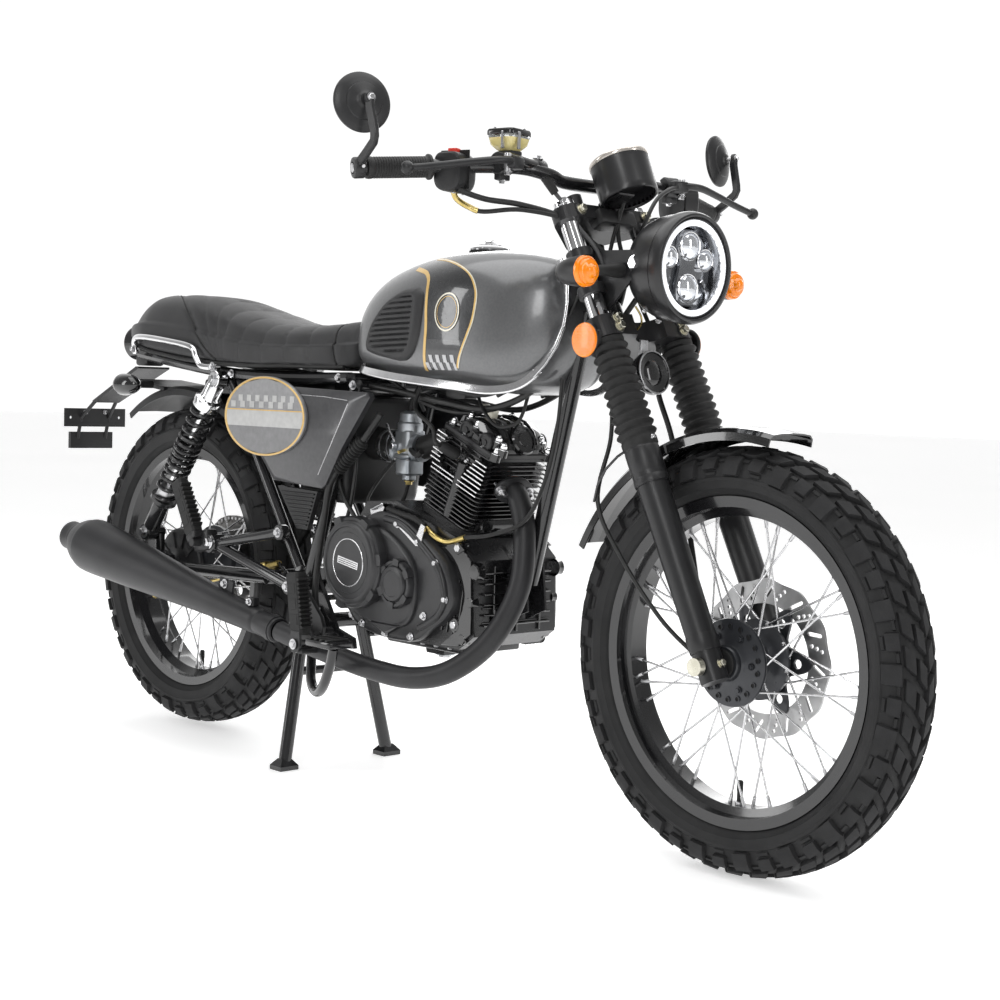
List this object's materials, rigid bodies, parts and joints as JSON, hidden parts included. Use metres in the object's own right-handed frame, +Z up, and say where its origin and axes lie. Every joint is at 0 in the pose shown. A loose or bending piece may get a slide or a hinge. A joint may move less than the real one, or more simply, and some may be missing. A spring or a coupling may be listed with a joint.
{
  "type": "cafe racer motorcycle",
  "caption": "Retro cafe racer motorcycle with spoked wheels, block-tread tyres and a round headlight; steering, wheels and stands move.",
  "frame": {"origin": "on the floor under the middle of the machine's bounding box, on its symmetry plane", "axes": "+X forward, +Y to the rider's left, +Z up"},
  "size_m": [2.194, 0.8806, 1.1558],
  "materials": {
    "frame_black": "gloss powder coat",
    "engine_black": "satin black crankcase",
    "fin_black": "gloss black with bright machined fin edges",
    "cover_black": "satin black covers",
    "carb_alloy": "cast alloy",
    "exhaust_black": "matt heat-proof black",
    "tank_paint": "metallic graphite, clear coated, with a dark band and gold pinstripes",
    "chrome": "polished chrome",
    "pad_rubber": "moulded rubber",
    "grip_rubber": "ribbed rubber grip",
    "seat_vinyl": "black vinyl with sewn channels",
    "panel_graphite": "dark graphite panel",
    "plastic_black": "moulded black plastic",
    "lamp_black": "black lamp bodies with smoked lenses",
    "zinc_steel": "zinc plated",
    "shock_chrome": "chrome bodies with black springs",
    "chain_steel": "oiled steel",
    "slider_black": "satin black",
    "gloss_black": "gloss black",
    "amber_lens": "amber lens",
    "cable_black": "cable and hose covers",
    "tyre_black": "block tread tyre",
    "rim_black": "gloss black steel rim",
    "spoke_steel": "stainless spokes",
    "hub_grey": "dark grey hub",
    "disc_steel": "ground stainless disc"
  },
  "bodies": {
    "chassis": {"main_frame": "frame_black", "subframe": "frame_black", "engine_block": "engine_black", "cylinder_barrel": "fin_black", "cylinder_head": "fin_black", "engine_covers": "cover_black", "carburettor": "carb_alloy", "exhaust_pipe": "exhaust_black", "silencer": "exhaust_black", "fuel_tank": "tank_paint", "fuel_cap": "chrome", "knee_pads": "pad_rubber", "seat": "seat_vinyl", "side_panels": "panel_graphite", "rear_fender": "plastic_black", "tail_lamps": "lamp_black", "plate_bracket": "plastic_black", "grab_rail": "chrome", "swingarm": "frame_black", "rear_axle": "zinc_steel", "rear_shocks": "shock_chrome", "drive_chain": "chain_steel", "chain_guard": "plastic_black", "footrests": "pad_rubber", "foot_controls": "frame_black", "rear_brake": "cover_black"},
    "steering_assembly": {"steering_yokes": "frame_black", "fork_tubes": "chrome", "fork_sliders": "slider_black", "fork_gaiters": "pad_rubber", "front_fender": "gloss_black", "handlebar": "frame_black", "hand_grips": "grip_rubber", "hand_controls": "plastic_black", "mirrors": "plastic_black", "headlight": "gloss_black", "instrument": "gloss_black", "front_signals": "amber_lens", "brake_caliper": "cover_black", "front_axle": "zinc_steel", "front_cables": "cable_black"},
    "front_wheel": {"front_tyre": "tyre_black", "front_rim": "rim_black", "front_spokes": "spoke_steel", "front_hub": "hub_grey", "brake_disc": "disc_steel"},
    "rear_wheel": {"rear_tyre": "tyre_black", "rear_rim": "rim_black", "rear_spokes": "spoke_steel", "rear_hub": "hub_grey", "rear_sprocket": "chain_steel"},
    "centre_stand_body": {"centre_stand": "frame_black"},
    "side_stand_body": {"side_stand": "frame_black"}
  },
  "joints": [
    {"name": "steering", "type": "hinge", "parent": "chassis", "child": "steering_assembly", "pos_m": [0.74206, 0, 0.29308], "axis": [-0.4384, 0, 0.8988], "range_deg": [-38, 38]},
    {"name": "front_wheel_spin", "type": "hinge", "parent": "steering_assembly", "child": "front_wheel", "pos_m": [0.787, 0, 0.315], "axis": [0, 1, 0], "continuous": true},
    {"name": "rear_wheel_spin", "type": "hinge", "parent": "chassis", "child": "rear_wheel", "pos_m": [-0.628, 0, 0.328], "axis": [0, 1, 0], "continuous": true},
    {"name": "centre_stand_fold", "type": "hinge", "parent": "chassis", "child": "centre_stand_body", "pos_m": [-0.198, 0, 0.262], "axis": [0, 1, 0], "range_deg": [0, 85]},
    {"name": "side_stand_swing", "type": "hinge", "parent": "chassis", "child": "side_stand_body", "pos_m": [-0.028, 0.11, 0.25], "axis": [0, -0.9536, -0.3011], "range_deg": [0, 100]}
  ]
}
